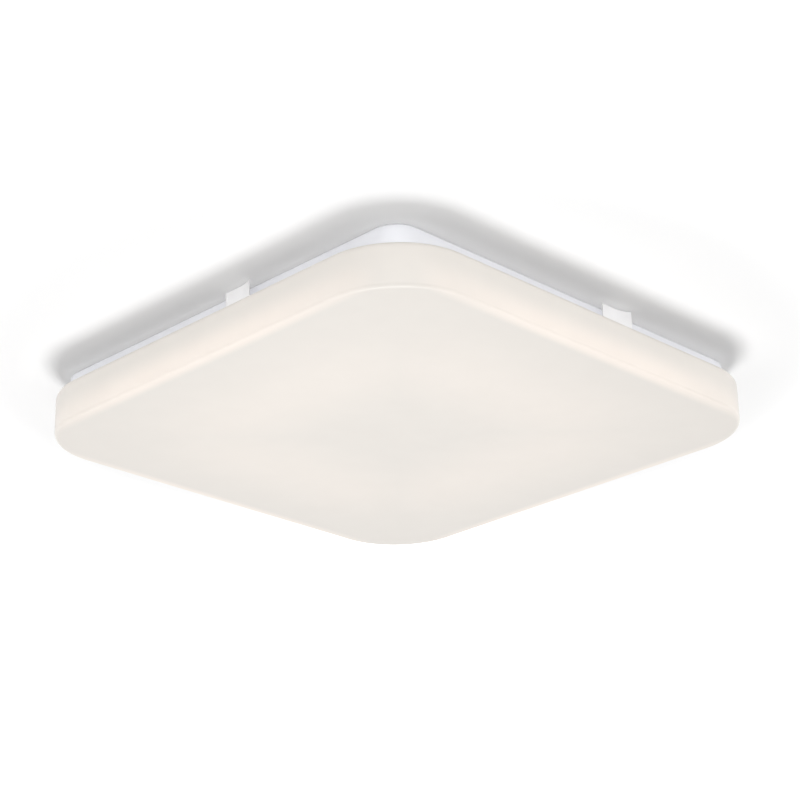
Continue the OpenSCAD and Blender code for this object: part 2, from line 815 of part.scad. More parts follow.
// Ring tag on the pan with a barrel crimped on the earth lead
module earth_tag() {
    barrel = lead_wire + 2 * seat;
    color("silver") translate([earth_x, earth_y, 0]) difference() {
        union() {
            translate([0, 0, field_low - tag_thickness]) cylinder(h = tag_thickness, r = 4);
            block([-1.5, -9, field_low - tag_thickness], [1.5, -3, field_low]);
            translate([0, -6, barrel_level]) rotate([90, 0, 0]) cylinder(h = 5, r = barrel + 0.5);
        }
        translate([0, 0, field_low - over]) cylinder(h = 3, r = small_screw + 2 * seat, $fn = 32);
        translate([0, -7, barrel_level]) rotate([90, 0, 0]) cylinder(h = 5, r = barrel, $fn = 24);
        block([-4, -12, field_low], [4, -2, field_low + 3]);
    }
}

module earth_screw() {
    color("silver") translate([earth_x, earth_y, field_low - tag_thickness])
        screw(small_screw, small_head, tag_thickness + tip_length);
}

module live_lead() {
    color("brown") lead(live_route);
}

module neutral_lead() {
    color("blue") lead(neutral_route);
}

module earth_lead() {
    color("green") lead(earth_route);
}

module output_leads() {
    color("red") for (side = [-1, 1]) lead(output_route, side * lead_gap / 2);
}

// Pairs of leads that carry current round three of the corners between the light bars
module jumper_leads() {
    straight = bar_offset - connector_inset - jumper_bend;
    color("red") for (turn = [3, 0, 1], pole = [-1, 1]) {
        bend = jumper_bend + pole * lead_gap / 2;
        rotate(90 * turn) translate([straight, straight, lead_level]) {
            rotate_extrude(angle = 90) translate([bend, 0]) circle(lead_wire, $fn = 24);
            translate([bend, 0, 0]) rotate([90, 0, 0])
                cylinder(h = straight - connector_end + lead_depth, r = lead_wire, $fn = 24);
            translate([0, bend, 0]) rotate([0, -90, 0])
                cylinder(h = straight - connector_end + lead_depth, r = lead_wire, $fn = 24);
        }
    }
}

base_pan();
cable_grommet();
retaining_clip(0);  // retaining_clip_1
retaining_clip(1);  // retaining_clip_2
retaining_clip(2);  // retaining_clip_3
retaining_clip(3);  // retaining_clip_4
clip_rivets();
diffuser_hood();
light_bar(0);  // light_bar_1
light_bar(1);  // light_bar_2
light_bar(2);  // light_bar_3
light_bar(3);  // light_bar_4
light_emitters();
lead_connectors();
light_bar_screws();
driver_base();
driver_board();
driver_transformer();
driver_capacitor();
driver_cover();
driver_screws();
terminal_block();
terminal_screw();
terminal_spring(1);  // terminal_spring_1
terminal_spring(2);  // terminal_spring_2
terminal_spring(3);  // terminal_spring_3
release_button(1);  // release_button_1
release_button(2);  // release_button_2
release_button(3);  // release_button_3
cable_clamp();
cable_clamp_screws();
earth_tag();
earth_screw();
live_lead();
neutral_lead();
earth_lead();
output_leads();
jumper_leads();
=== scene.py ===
"""Dresses the square flush ceiling light in its real finishes and sets it under a ceiling.

Every length is in metres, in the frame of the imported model: the ceiling is the plane
z = 0 and the room is below it.
"""

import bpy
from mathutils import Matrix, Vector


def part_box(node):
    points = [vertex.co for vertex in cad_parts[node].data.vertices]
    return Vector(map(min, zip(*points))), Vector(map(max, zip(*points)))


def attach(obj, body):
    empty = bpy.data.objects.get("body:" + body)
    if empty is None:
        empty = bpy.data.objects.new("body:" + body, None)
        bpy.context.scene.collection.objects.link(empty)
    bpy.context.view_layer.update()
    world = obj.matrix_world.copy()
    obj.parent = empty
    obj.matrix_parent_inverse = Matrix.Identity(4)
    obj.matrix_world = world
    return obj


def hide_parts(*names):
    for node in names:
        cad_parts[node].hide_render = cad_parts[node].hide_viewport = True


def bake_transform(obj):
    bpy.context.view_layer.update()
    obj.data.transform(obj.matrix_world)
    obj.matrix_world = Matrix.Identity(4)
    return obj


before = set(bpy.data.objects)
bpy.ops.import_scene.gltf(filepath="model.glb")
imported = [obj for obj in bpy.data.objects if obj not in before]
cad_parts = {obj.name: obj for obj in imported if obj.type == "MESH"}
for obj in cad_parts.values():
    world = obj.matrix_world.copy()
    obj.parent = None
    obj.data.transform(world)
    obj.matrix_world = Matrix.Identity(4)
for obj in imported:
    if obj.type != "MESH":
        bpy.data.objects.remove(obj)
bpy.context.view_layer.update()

import math

import bmesh
import bpy
from mathutils import Matrix, Vector

bl_info = {
    "name": "Square ceiling light",
    "version": (1, 0, 0),
    "blender": (4, 5, 0),
    "location": "3D View > Sidebar > Ceiling Light",
    "description": "Models and paints the pieces of a square flush ceiling light",
    "category": "Object",
}

X, Y, Z = range(3)
QUARTER = math.pi / 2
QUARTER_TURNS = [Matrix.Rotation(QUARTER * turn, 4, "Z") for turn in range(4)]
SAME_PLACE = 1e-5


def low_corner(node):
    """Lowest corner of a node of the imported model."""
    return Vector(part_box(node)[0])


def high_corner(node):
    """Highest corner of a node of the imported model."""
    return Vector(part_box(node)[1])


HOOD_LOW, HOOD_HIGH = low_corner("diffuser_hood"), high_corner("diffuser_hood")
PAN_HALF, PAN_CORNER = high_corner("base_pan").x, 0.021
BAR_LOW, BAR_HIGH = low_corner("light_bar_1"), high_corner("light_bar_1")
BAR_MIDDLE = (BAR_LOW.x + BAR_HIGH.x) / 2

# Stop ribs of the hood: their ends on its diagonals, and the height of their tops
RIB_NEAR, RIB_FAR, RIB_TOP = 0.254, 0.2693, -0.0263

# Seats of the screw heads, with the thickness that the screws of a group hold
BAR_SCREW_PLACES, BAR_SCREW_GRIP = (-0.084, 0.0, 0.084), 0.0015
SCREWS = {
    "driver_screws": ([(-0.0805, -0.045, -0.0061), (0.0805, -0.045, -0.0061)], 0.0018),
    "terminal_screw": ([(0.0734, 0.0439, -0.0067)], 0.0024),
    "cable_clamp_screws": ([(0.022, 0.01415, -0.0059), (0.022, 0.03585, -0.0059)], 0.0016),
    "earth_screw": ([(0.084, 0.076, -0.0051)], 0.0008),
}

# Width of the small rounding on the edges of moulded pieces
MOULDED_EDGE, BUTTON_EDGE, SHELL_EDGE = 0.0003, 0.0002, 0.00015

# Holes for the leads in the driver's left and right ends: their height and half their distance
LEAD_HOLE_HEIGHT = -0.0124
LEAD_HOLE_SPREAD = {-1: 0.0012, 1: 0.0022}

# Routes of the leads, from the terminal or the driver to their other end
LIVE_ROUTE = [
    (0.068, 0.016, -0.0103), (0.076, 0.016, -0.0103), (0.086, 0.008, -0.0106),
    (0.090, -0.012, -0.011), (0.089, -0.032, -0.012), (0.083, -0.042, -0.0124),
    (0.072, -0.0428, -0.0124),
]
NEUTRAL_ROUTE = [
    (0.068, 0.034, -0.0103), (0.078, 0.034, -0.0103), (0.092, 0.022, -0.0106),
    (0.0955, -0.008, -0.011), (0.094, -0.036, -0.012), (0.085, -0.047, -0.0124),
    (0.072, -0.0472, -0.0124),
]
EARTH_ROUTE = [
    (0.068, 0.025, -0.0103), (0.075, 0.025, -0.0103), (0.082, 0.031, -0.009),
    (0.0844, 0.046, -0.0066), (0.084, 0.058, -0.0057), (0.084, 0.067, -0.0057),
]
OUTPUT_ROUTE = [
    (-0.072, -0.045, -0.0124), (-0.082, -0.045, -0.0124), (-0.091, -0.054, -0.0116),
    (-0.095, -0.076, -0.0114), (-0.098, -0.095, -0.0130), (-0.1025, -0.104, -0.0134),
    (-0.1072, -0.1056, -0.0106), (-0.108, -0.101, -0.0078), (-0.108, -0.097, -0.0078),
    (-0.108, -0.094, -0.0078),
]

# Lamps: their places, and how wide they are
LAMPS = {
    "key_lamp": ((1.27, 1.27, -4.23), 1.7),
    "near_lamp": ((-0.20, -0.10, -0.55), 0.35),
    "front_lamp": ((-1.6, -1.6, -0.2), 0.6),
    "left_lamp": ((-4.4, 0.8, -0.35), 1.4),
    "right_lamp": ((0.8, -4.4, -0.35), 1.4),
    "back_lamp": ((0.4, 0.9, 2.0), 1.5),
}
SIDE_LAMPS = ("left_lamp", "right_lamp")

# Distances from the middle between which the ceiling turns white for the camera
WHITE_START, WHITE_END = 0.30, 0.50

# Camera: its turns in degrees, and where it sees the light's middle, with y down and z ahead
CAMERA_YAW, CAMERA_PITCH, CAMERA_ROLL = 45.533, 22.749, -1.352
LIGHT_FROM_CAMERA = Vector((-0.00291, -0.02204, 1.7527))


# Shader nodes


class Value:
    """A number in a node tree. Arithmetic on it adds Math nodes."""

    def __init__(self, tree, socket):
        self.tree, self.socket = tree, socket

    def maths(self, operation, first, second=0.0):
        made = self.tree.node("ShaderNodeMath", {"operation": operation}, {0: first, 1: second})
        return Value(self.tree, made.outputs[0])

    def __add__(self, other):
        return self.maths("ADD", self, other)

    def __sub__(self, other):
        return self.maths("SUBTRACT", self, other)

    def __rsub__(self, other):
        return self.maths("SUBTRACT", other, self)

    def __mul__(self, other):
        return self.maths("MULTIPLY", self, other)

    def __truediv__(self, other):
        return self.maths("DIVIDE", self, other)

    def __rtruediv__(self, other):
        return self.maths("DIVIDE", other, self)

    def __pow__(self, other):
        return self.maths("POWER", self, other)

    def __rpow__(self, other):
        return self.maths("POWER", other, self)

    def __abs__(self):
        return self.maths("ABSOLUTE", self)

    __radd__ = __add__
    __rmul__ = __mul__

    def above(self, other):
        return self.maths("GREATER_THAN", self, other)

    def below(self, other):
        return self.maths("LESS_THAN", self, other)

    def highest(self, other):
        return self.maths("MAXIMUM", self, other)

    def lowest(self, other):
        return self.maths("MINIMUM", self, other)

    def repeat(self, length):
        """Rises to a length and falls back, again and again."""
        return self.maths("PINGPONG", self, length)

    def ramp(self, start, end, low=0.0, high=1.0):
        """Smooth step from low to high as the number goes from start to end."""
        made = self.tree.node(
            "ShaderNodeMapRange",
            {"interpolation_type": "SMOOTHSTEP"},
            {"Value": self, "From Min": start, "From Max": end, "To Min": low, "To Max": high},
        )
        return Value(self.tree, made.outputs["Result"])


class Tree:
    """The nodes of a material or of the world."""

    def __init__(self, owner):
        owner.use_nodes = True
        self.nodes, self.links = owner.node_tree.nodes, owner.node_tree.links

    def node(self, kind, choices=None, sockets=None):
        """Adds a node, makes its choices, and fills or links its sockets."""
        made = self.nodes.new(kind)
        for name, value in (choices or {}).items():
            setattr(made, name, value)
        for key, value in (sockets or {}).items():
            self.fill(made.inputs[key], value)
        return made

    def fill(self, socket, value):
        """Links a socket, or sets it to a number or a colour."""
        if isinstance(value, Value):
            value = value.socket
        if isinstance(value, bpy.types.NodeSocket):
            self.links.new(value, socket)
        elif hasattr(value, "__len__") and socket.type == "RGBA":
            socket.default_value = (*value[:3], 1)
        else:
            socket.default_value = value

    def seen(self):
        """1 for what the camera sees, also in gloss and glass, and 0 for light on a surface."""
        path = self.node("ShaderNodeLightPath").outputs
        camera, gloss, passing = (
            Value(self, path[f"Is {kind} Ray"]) for kind in ("Camera", "Glossy", "Transmission")
        )
        return camera.highest(gloss).highest(passing)


class Paint(Tree):
    """A material built on the Principled shader, from Object coordinates."""

    def __init__(self, name, roughness=0.5, metallic=0.0, coat=0.0, specular=0.5):
        self.material = bpy.data.materials.new(name)
        super().__init__(self.material)
        self.shader = self.nodes["Principled BSDF"]
        self.put("Roughness", roughness)
        self.put("Metallic", metallic)
        self.put("Coat Weight", coat)
        self.put("Coat Roughness", 0.12)
        self.put("Specular IOR Level", specular)
        self.where = self.node("ShaderNodeTexCoord").outputs["Object"]
        apart = self.node("ShaderNodeSeparateXYZ", {}, {"Vector": self.where})
        self.x, self.y, self.z = (Value(self, output) for output in apart.outputs)

    def put(self, name, value):
        """Sets or links one of the shader's own sockets."""
        self.fill(self.shader.inputs[name], value)

    def noise(self, scale, detail=2.0, roughness=0.5):
        """Noise from 0 to 1, with a scale in patches per metre."""
        made = self.node(
            "ShaderNodeTexNoise",
            {},
            {"Vector": self.where, "Scale": scale, "Detail": detail, "Roughness": roughness},
        )
        return Value(self, made.outputs[0])

    def mix(self, factor, first, second):
        """Colour between two colours."""
        made = self.node("ShaderNodeMix", {"data_type": "RGBA"}, {0: factor, 6: first, 7: second})
        return made.outputs[2]

    def bump(self, height, strength, distance):
        """Fine relief from a height between 0 and 1."""
        made = self.node(
            "ShaderNodeBump", {}, {"Height": height, "Strength": strength, "Distance": distance}
        )
        self.put("Normal", made.outputs[0])


def dimmed(colour, share):
    """Colour with each channel cut to a share."""
    return [channel * share for channel in colour]


# Materials


def opal_plastic(looks):
    """Moulded opal plastic: warm and softly glossy, with painted light: a painted glow low on the
    wall in place of the sheen on the rounded lower edge, and a faint painted glow on the face over
    the bars inside.
    """
    paint = Paint("opal_plastic", specular=0.35)
    grain = paint.noise(35, 3)
    fine = paint.noise(1400, 2)
    across = abs(paint.x).highest(abs(paint.y))
    along = abs(paint.x).lowest(abs(paint.y))
    wall = across.ramp(HOOD_HIGH.x - 0.012, HOOD_HIGH.x - 0.001)
    height = (paint.z - HOOD_LOW.z) / (HOOD_HIGH.z - HOOD_LOW.z)
    # Painted light: a warm band low on the wall stands in for the sheen on the hood's rounded
    # lower edge, and a faint glow on the face runs along the light bars, though nothing inside the
    # hood is lit.
    painted_light_band = height.ramp(0.75, 0.12) * wall * along.ramp(0.19, 0.06, 0.45, 1.0)
    painted_glow_under_bar = abs(across - looks.glow_line).ramp(looks.glow_spread, 0.0)
    face = (1 - wall) * painted_glow_under_bar * along.ramp(0.17, 0.05)
    glow = painted_light_band * looks.painted_band_glow + face * looks.painted_face_glow
    cloud = grain.ramp(0.25, 0.75)
    paint.put("Base Color", paint.mix(cloud, looks.opal, dimmed(looks.opal, 0.985)))
    # The emission paints this glow into the hood's colour: painted light, not light from the bars.
    paint.put("Emission Color", paint.mix(glow, (0, 0, 0), looks.glow))
    paint.put("Emission Strength", 1.0)
    paint.put("Roughness", grain * 0.06 + 0.38)
    paint.bump(fine * 0.6 + paint.noise(220, 2) * 0.4, 0.05, 0.0004)
    return paint.material


def powder_coat(name, colour, roughness=0.42, peel=0.12):
    """Powder paint on steel, with orange peel and faint unevenness."""
    paint = Paint(name, specular=0.45)
    cloud = paint.noise(18, 2)
    paint.put("Base Color", paint.mix(cloud.ramp(0.3, 0.7), colour, dimmed(colour, 0.975)))
    paint.put("Roughness", cloud * 0.08 + (roughness - 0.04))
    paint.bump(paint.noise(900, 2, roughness=0.6), peel, 0.0003)
    return paint.material


def moulded_plastic(name, colour, roughness=0.5, grain=0.15):
    """Plain moulded plastic with a fine spark-eroded grain."""
    paint = Paint(name)
    cloud = paint.noise(60, 3)
    paint.put("Base Color", paint.mix(cloud.ramp(0.3, 0.75), colour, dimmed(colour, 0.94)))
    paint.put("Roughness", cloud * 0.1 + (roughness - 0.05))
    paint.bump(paint.noise(2600, 2), grain, 0.0002)
    return paint.material


def bare_metal(name, colour, roughness=0.3):
    """Plated or bright metal with fine handling marks."""
    paint = Paint(name, metallic=1.0)
    marks = paint.noise(900, 3)
    paint.put("Base Color", paint.mix(marks.ramp(0.35, 0.7), colour, dimmed(colour, 0.82)))
    paint.put("Roughness", marks * 0.2 + (roughness - 0.08))
    paint.bump(marks, 0.1, 0.0002)
    return paint.material


def solder_mask(sizes, looks):
    """White solder mask on an aluminium board, with the copper tracks just showing."""
    paint = Paint("solder_mask", roughness=0.38)
    across = abs(abs(paint.x).highest(abs(paint.y)) - BAR_MIDDLE)
    along = abs(paint.x).lowest(abs(paint.y))
    rails = abs(across - sizes.rail_offset).ramp(0.0009, 0.0006)
    pads = along.repeat(sizes.emitter_pitch / 2).ramp(0.0045, 0.0048) * across.ramp(0.0042, 0.0039)
    tracks = rails.highest(pads)
    mask = paint.z.ramp(BAR_LOW.z + 0.0002, BAR_LOW.z + 0.0001)
    paint.put("Base Color", paint.mix(tracks, looks.mask, dimmed(looks.mask, 0.9)))
    paint.put("Metallic", (1 - mask) * 0.8)
    paint.bump(tracks, 0.35, 0.0002)
    return paint.material


def phosphor(looks):
    """Yellow gel under a clear window."""
    paint = Paint("phosphor", roughness=0.25, coat=0.6)
    cloud = paint.noise(1500, 2).ramp(0.3, 0.7)
    paint.put("Base Color", paint.mix(cloud, looks.phosphor, dimmed(looks.phosphor, 0.85)))
    return paint.material


def striped_insulation(looks):
    """Green insulation with a yellow stripe along it, on each side."""
    paint = Paint("earth_insulation", roughness=0.4)
    coordinates = paint.node("ShaderNodeTexCoord").outputs["UV"]
    apart = paint.node("ShaderNodeSeparateXYZ", {}, {"Vector": coordinates})
    stripe = Value(paint, apart.outputs["Y"]).repeat(0.25).ramp(0.12, 0.13)
    paint.put("Base Color", paint.mix(stripe, looks.earth_green, looks.earth_yellow))
    paint.bump(paint.noise(1500, 2), 0.08, 0.0002)
    return paint.material


def laminate(looks):
    """Board under green lacquer, with its tracks and pads just raised."""
    paint = Paint("board_laminate", roughness=0.35)
    tracks = paint.noise(90, 0).repeat(0.06).ramp(0.022, 0.018)
    paint.put("Base Color", paint.mix(tracks, looks.board, looks.board_track))
    paint.bump(tracks, 0.3, 0.0002)
    return paint.material


def taped_core(looks):
    """Ferrite core round a winding under layers of yellow tape."""
    paint = Paint("transformer")
    low, high = low_corner("driver_transformer"), high_corner("driver_transformer")
    yoke_depth, winding_half, tape_step = 0.0025, 0.0075, 0.0007
    yoke = abs(paint.z - (low.z + high.z) / 2).above((high.z - low.z) / 2 - yoke_depth)
    leg = abs(paint.x - (low.x + high.x) / 2).above(winding_half)
    core = yoke.highest(leg)
    layers = paint.z.repeat(tape_step) / tape_step
    paint.put("Base Color", paint.mix(core, looks.tape, looks.ferrite))
    paint.put("Roughness", core * 0.35 + 0.3)
    paint.bump(layers * (1 - core) + paint.noise(800, 3) * core, 0.25, 0.0003)
    return paint.material


def shrunk_sleeve(looks):
    """Sleeve on an aluminium can, open over its closed end, with a pale stripe along it."""
    paint = Paint("capacitor_sleeve", roughness=0.3)
    low, high = low_corner("driver_capacitor"), high_corner("driver_capacitor")
    middle = (low + high) / 2
    stripe_depth, stripe_half, end_radius = 0.0035, 0.0016, 0.0038
    stripe = paint.z.below(low.z + stripe_depth) * abs(paint.y - middle.y).below(stripe_half)
    across = ((paint.y - middle.y) ** 2 + (paint.z - middle.z) ** 2) ** 0.5
    bare = paint.x.above(high.x - 0.0001) * across.below(end_radius)
    sleeve = paint.mix(stripe, looks.sleeve, looks.sleeve_stripe)
    paint.put("Base Color", paint.mix(bare, sleeve, looks.bright_metal))
    paint.put("Metallic", bare)
    paint.bump(paint.noise(1200, 2), 0.06, 0.0002)
    return paint.material


# Modelling


def alone(piece):
    """Makes one object the only selected and the active one."""
    bpy.ops.object.select_all(action="DESELECT")
    piece.select_set(True)
    bpy.context.view_layer.objects.active = piece


def added(name):
    """Names the primitive that was just added and puts its place in its mesh."""
    piece = bpy.context.object
    piece.name = piece.data.name = name
    bpy.ops.object.transform_apply(location=True, rotation=True, scale=True)
    return piece


def block(name, place, size, turn=0.0):
    """Box with its middle at a place, turned about the upright."""
    bpy.ops.object.select_all(action="DESELECT")
    bpy.ops.mesh.primitive_cube_add(size=1, location=place, rotation=(0, 0, turn), scale=size)
    return added(name)


def level_cylinder(name, place, radius, depth, vertices):
    """Cylinder with its middle at a place, along x."""
    bpy.ops.object.select_all(action="DESELECT")
    bpy.ops.mesh.primitive_cylinder_add(
        vertices=vertices, radius=radius, depth=depth, location=place, rotation=(0, QUARTER, 0)
    )
    return added(name)


def edit(piece, mode="FACE"):
    """Opens a piece in edit mode with nothing selected."""
    alone(piece)
    bpy.ops.object.mode_set(mode="EDIT")
    bpy.ops.mesh.select_mode(type=mode)
    bpy.ops.mesh.select_all(action="DESELECT")


def pick(piece, mode, test):
    """Selects, in edit mode, the faces or edges that pass a test."""
    bpy.ops.mesh.select_mode(type=mode)
    bpy.ops.mesh.select_all(action="DESELECT")
    shape = bmesh.from_edit_mesh(piece.data)
    for part in shape.faces if mode == "FACE" else shape.edges:
        part.select_set(test(part))
    shape.select_flush_mode()
    bmesh.update_edit_mesh(piece.data)


def lies_at(axis, place):
    """Test for edges that lie at one place on an axis."""
    return lambda edge: all(abs(vertex.co[axis] - place) < SAME_PLACE for vertex in edge.verts)


def reaches(axis, least):
    """Test for edges that reach more than a length along an axis."""
    return lambda edge: abs(edge.verts[0].co[axis] - edge.verts[1].co[axis]) > least


def faces_down(face):
    return face.normal.z < -0.9


def faces_up(face):
    return face.normal.z > 0.9


def slice_at(axis, *places):
    """Cuts the piece in edit mode along planes across an axis."""
    normal = Matrix.Identity(3)[axis].copy()
    for place in places:
        bpy.ops.mesh.select_all(action="SELECT")
        bpy.ops.mesh.bisect(plane_co=normal * place, plane_no=normal)


def raised(height):
    """Setting that moves what an extrusion makes."""
    return {"value": (0, 0, height)}


def done(piece):
    """Leaves edit mode and shades the piece smooth, except over sharp edges."""
    if bpy.context.mode != "OBJECT":
        bpy.ops.object.mode_set(mode="OBJECT")
    alone(piece)
    bpy.ops.object.shade_smooth_by_angle(angle=math.radians(30))
    return piece


def modify(piece, kind, **choices):
    """Adds a modifier with its choices and applies it, out of edit mode."""
    if bpy.context.mode != "OBJECT":
        bpy.ops.object.mode_set(mode="OBJECT")
    alone(piece)
    made = piece.modifiers.new(kind.title(), kind)
    for name, value in choices.items():
        setattr(made, name, value)
    bpy.ops.object.modifier_apply(modifier=made.name)


def cut(piece, cutter):
    """Takes the shape of one object out of another."""
    modify(piece, "BOOLEAN", object=cutter, operation="DIFFERENCE", solver="EXACT")
    bpy.data.objects.remove(cutter)


def soften(piece, width):
    """Rounds a piece's sharp edges a little, as a mould or a press leaves them."""
    modify(piece, "BEVEL", width=width, segments=2, limit_method="ANGLE",
           angle_limit=math.radians(40))
    done(piece)
    modify(piece, "WEIGHTED_NORMAL", keep_sharp=True)
    return piece


def joined(pieces, name):
    """Joins several objects into one."""
    bpy.ops.object.select_all(action="DESELECT")
    for piece in pieces:
        piece.select_set(True)
    bpy.context.view_layer.objects.active = pieces[0]
    if len(pieces) > 1:
        bpy.ops.object.join()
    pieces[0].name = pieces[0].data.name = name
    return pieces[0]


def copies(piece, places, name):
    """Copies a piece to several places, given as matrices, and joins the copies."""
    made = []
    for place in places:
        other = piece.copy()
        other.data = piece.data.copy()
        other.data.transform(place)
        bpy.context.collection.objects.link(other)
        made.append(other)
    bpy.data.objects.remove(piece)
    return joined(made, name)


def merged_copy(node, name):
    """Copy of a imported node's mesh with its triangles joined into whole faces."""
    piece = bpy.data.objects.new(name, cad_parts[node].data.copy())
    piece.data.materials.clear()
    bpy.context.collection.objects.link(piece)
    edit(piece)
    bpy.ops.mesh.select_all(action="SELECT")
    bpy.ops.mesh.remove_doubles(threshold=1e-6)
    bpy.ops.mesh.dissolve_limited(angle_limit=math.radians(0.5))
    bpy.ops.object.mode_set(mode="OBJECT")
    return piece


def round_square(name, half, corner, z, segments):
    """Adds a flat square with round corners and leaves it in edit mode, selected."""
    bpy.ops.object.select_all(action="DESELECT")
    bpy.ops.mesh.primitive_plane_add(size=2 * half, location=(0, 0, z))
    piece = added(name)
    edit(piece, "VERT")
    bpy.ops.mesh.select_all(action="SELECT")
    bpy.ops.mesh.bevel(offset=corner, segments=segments, affect="VERTICES")
    bpy.ops.mesh.select_all(action="SELECT")
    return piece


def round_block(name, middle, size, corner):
    """Box with round upright edges, left in edit mode."""
    piece = block(name, middle, size)
    edit(piece)
    pick(piece, "EDGE", reaches(Z, size.z / 2))
    bpy.ops.mesh.bevel(offset=corner, segments=6, affect="EDGES")
    return piece


def finish_piece(piece, body, slot, materials, *nodes):
    """Gives a new piece its body and materials, and hides the nodes that it stands for. Its slot
    is not used.

    A piece that bends between two bodies is given no body here.
    """
    for material in materials:
        piece.data.materials.append(material)
    if body:
        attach(piece, body)
    if nodes:
        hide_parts(*nodes)


def dress(node, material):
    """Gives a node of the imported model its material."""
    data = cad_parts[node].data
    data.materials.clear()
    data.materials.append(material)


# Sizes and colours that a user would change


def length(name, description, default):
    return bpy.props.FloatProperty(
        name=name, description=description, default=default,
        unit="LENGTH", subtype="DISTANCE", precision=5,
    )


def tint(name, description, default):
    return bpy.props.FloatVectorProperty(
        name=name, description=description, default=default,
        size=3, min=0, max=1, subtype="COLOR",
    )


def number(name, description, default, unit="NONE"):
    return bpy.props.FloatProperty(name=name, description=description, default=default, unit=unit)


def count(name, description, default):
    return bpy.props.IntProperty(name=name, description=description, default=default, min=1)


class LightSizes(bpy.types.PropertyGroup):
    hood_corner: length("Hood corner", "Outside corner radius of the hood", 0.064)
    hood_edge: length("Hood edge", "Outside radius of the hood's lower edge", 0.0033)
    rim_curl: length("Rim curl", "Outside radius of the hood's curled rim", 0.0053)
    rim_width: length("Rim width", "Width of the rim that turns inwards", 0.0085)
    wall: length("Wall", "Thickness of the hood's wall", 0.002)
    rib: length("Rib", "Thickness of the hood's stop ribs", 0.002)
    emitters: count("Emitters", "Number of emitters on a light bar", 16)
    emitter_pitch: length("Emitter pitch", "Distance between emitters", 0.012)
    emitter_length: length("Emitter length", "Length of an emitter along its bar", 0.0035)
    emitter_width: length("Emitter width", "Width of an emitter", 0.0028)
    emitter_height: length("Emitter height", "Height of an emitter", 0.0008)
    emitter_frame: length("Emitter frame", "Width of the frame round an emitter's window", 0.00035)
    rail_offset: length("Rail offset", "Distance of the bar's long tracks from its middle", 0.0062)
    screw_head: length("Screw head", "Radius of the screw heads", 0.0028)
    screw_shank: length("Screw shank", "Radius of the screw shanks", 0.0015)
    screw_tip: length("Screw tip", "Length of a screw past what it holds", 0.0026)
    driver_edge: length("Driver edge", "Corner radius of the driver's housing", 0.003)
    driver_wall: length("Driver wall", "Thickness of the driver's housing", 0.0016)
    vents: count("Vents", "Number of vents in a row", 9)
    vent_pitch: length("Vent pitch", "Distance between the driver's vents", 0.0034)
    vent_width: length("Vent width", "Width of a vent", 0.0014)
    vent_height: length("Vent height", "Height of a vent", 0.0085)
    lead_hole: length("Lead hole", "Radius of the holes for the leads", 0.0017)
    lead_radius: length("Lead radius", "Radius of an insulated lead", 0.0008)
    lead_gap: length("Lead gap", "Distance between the two leads of a pair", 0.0024)


class LightLooks(bpy.types.PropertyGroup):
    opal: tint("Opal", "Colour of the hood's plastic", (0.728, 0.692, 0.648))
    # The glow settings below set painted light on the hood: a glowing band low on its wall and a
    # faint glow on its face, not light from the bars.
    glow: tint("Glow", "Colour of the light that comes through the hood", (1.0, 0.72, 0.57))
    glow_line: length("Glow line", "Distance from the middle at which the face glows most", 0.115)
    glow_spread: length("Glow spread", "Distance over which the face's glow fades", 0.085)
    painted_band_glow: number("Band glow", "Strength of the glow low on the hood's wall", 0.14)
    painted_face_glow: number("Face glow", "Strength of the glow on the hood's face", 0.05)
    pan: tint("Pan", "Colour of the pan's powder paint", (0.835, 0.842, 0.878))
    clip: tint("Clip", "Colour of the clips' paint", (0.89, 0.885, 0.89))
    rivet: tint("Rivet", "Colour of the rivets", (0.72, 0.73, 0.75))
    grommet: tint("Grommet", "Colour of the cable grommet", (0.10, 0.10, 0.105))
    screw: tint("Screw", "Colour of the screws", (0.62, 0.63, 0.65))
    mask: tint("Solder mask", "Colour of the light bars' solder mask", (0.79, 0.79, 0.77))
    connector: tint("Connector", "Colour of the lead connectors", (0.72, 0.72, 0.69))
    emitter: tint("Emitter", "Colour of the emitters' frames", (0.74, 0.74, 0.72))
    phosphor: tint("Phosphor", "Colour of the emitters' windows", (0.93, 0.66, 0.10))
    housing: tint("Housing", "Colour of the driver's housing", (0.76, 0.76, 0.75))
    board: tint("Board", "Colour of the driver's board", (0.03, 0.13, 0.05))
    board_track: tint("Board track", "Colour of the board's tracks", (0.05, 0.22, 0.08))
    ferrite: tint("Ferrite", "Colour of the transformer's core", (0.035, 0.035, 0.04))
    tape: tint("Tape", "Colour of the tape round the transformer", (0.72, 0.50, 0.06))
    sleeve: tint("Sleeve", "Colour of the capacitor's sleeve", (0.03, 0.03, 0.035))
    sleeve_stripe: tint("Sleeve stripe", "Colour of the stripe on the sleeve", (0.5, 0.5, 0.5))
    terminal: tint("Terminal", "Colour of the mains terminal and the clamp", (0.72, 0.72, 0.70))
    button: tint("Button", "Colour of the release buttons", (0.72, 0.22, 0.03))
    bright_metal: tint("Bright metal", "Colour of springs and earth tag", (0.68, 0.68, 0.69))
    live: tint("Live", "Colour of the live lead", (0.13, 0.045, 0.02))
    neutral: tint("Neutral", "Colour of the neutral lead", (0.02, 0.09, 0.36))
    output: tint("Output", "Colour of the leads between driver and light bars", (0.62, 0.62, 0.60))
    earth_green: tint("Earth green", "Main colour of the earth lead", (0.08, 0.34, 0.05))
    earth_yellow: tint("Earth yellow", "Stripe of the earth lead", (0.80, 0.70, 0.05))


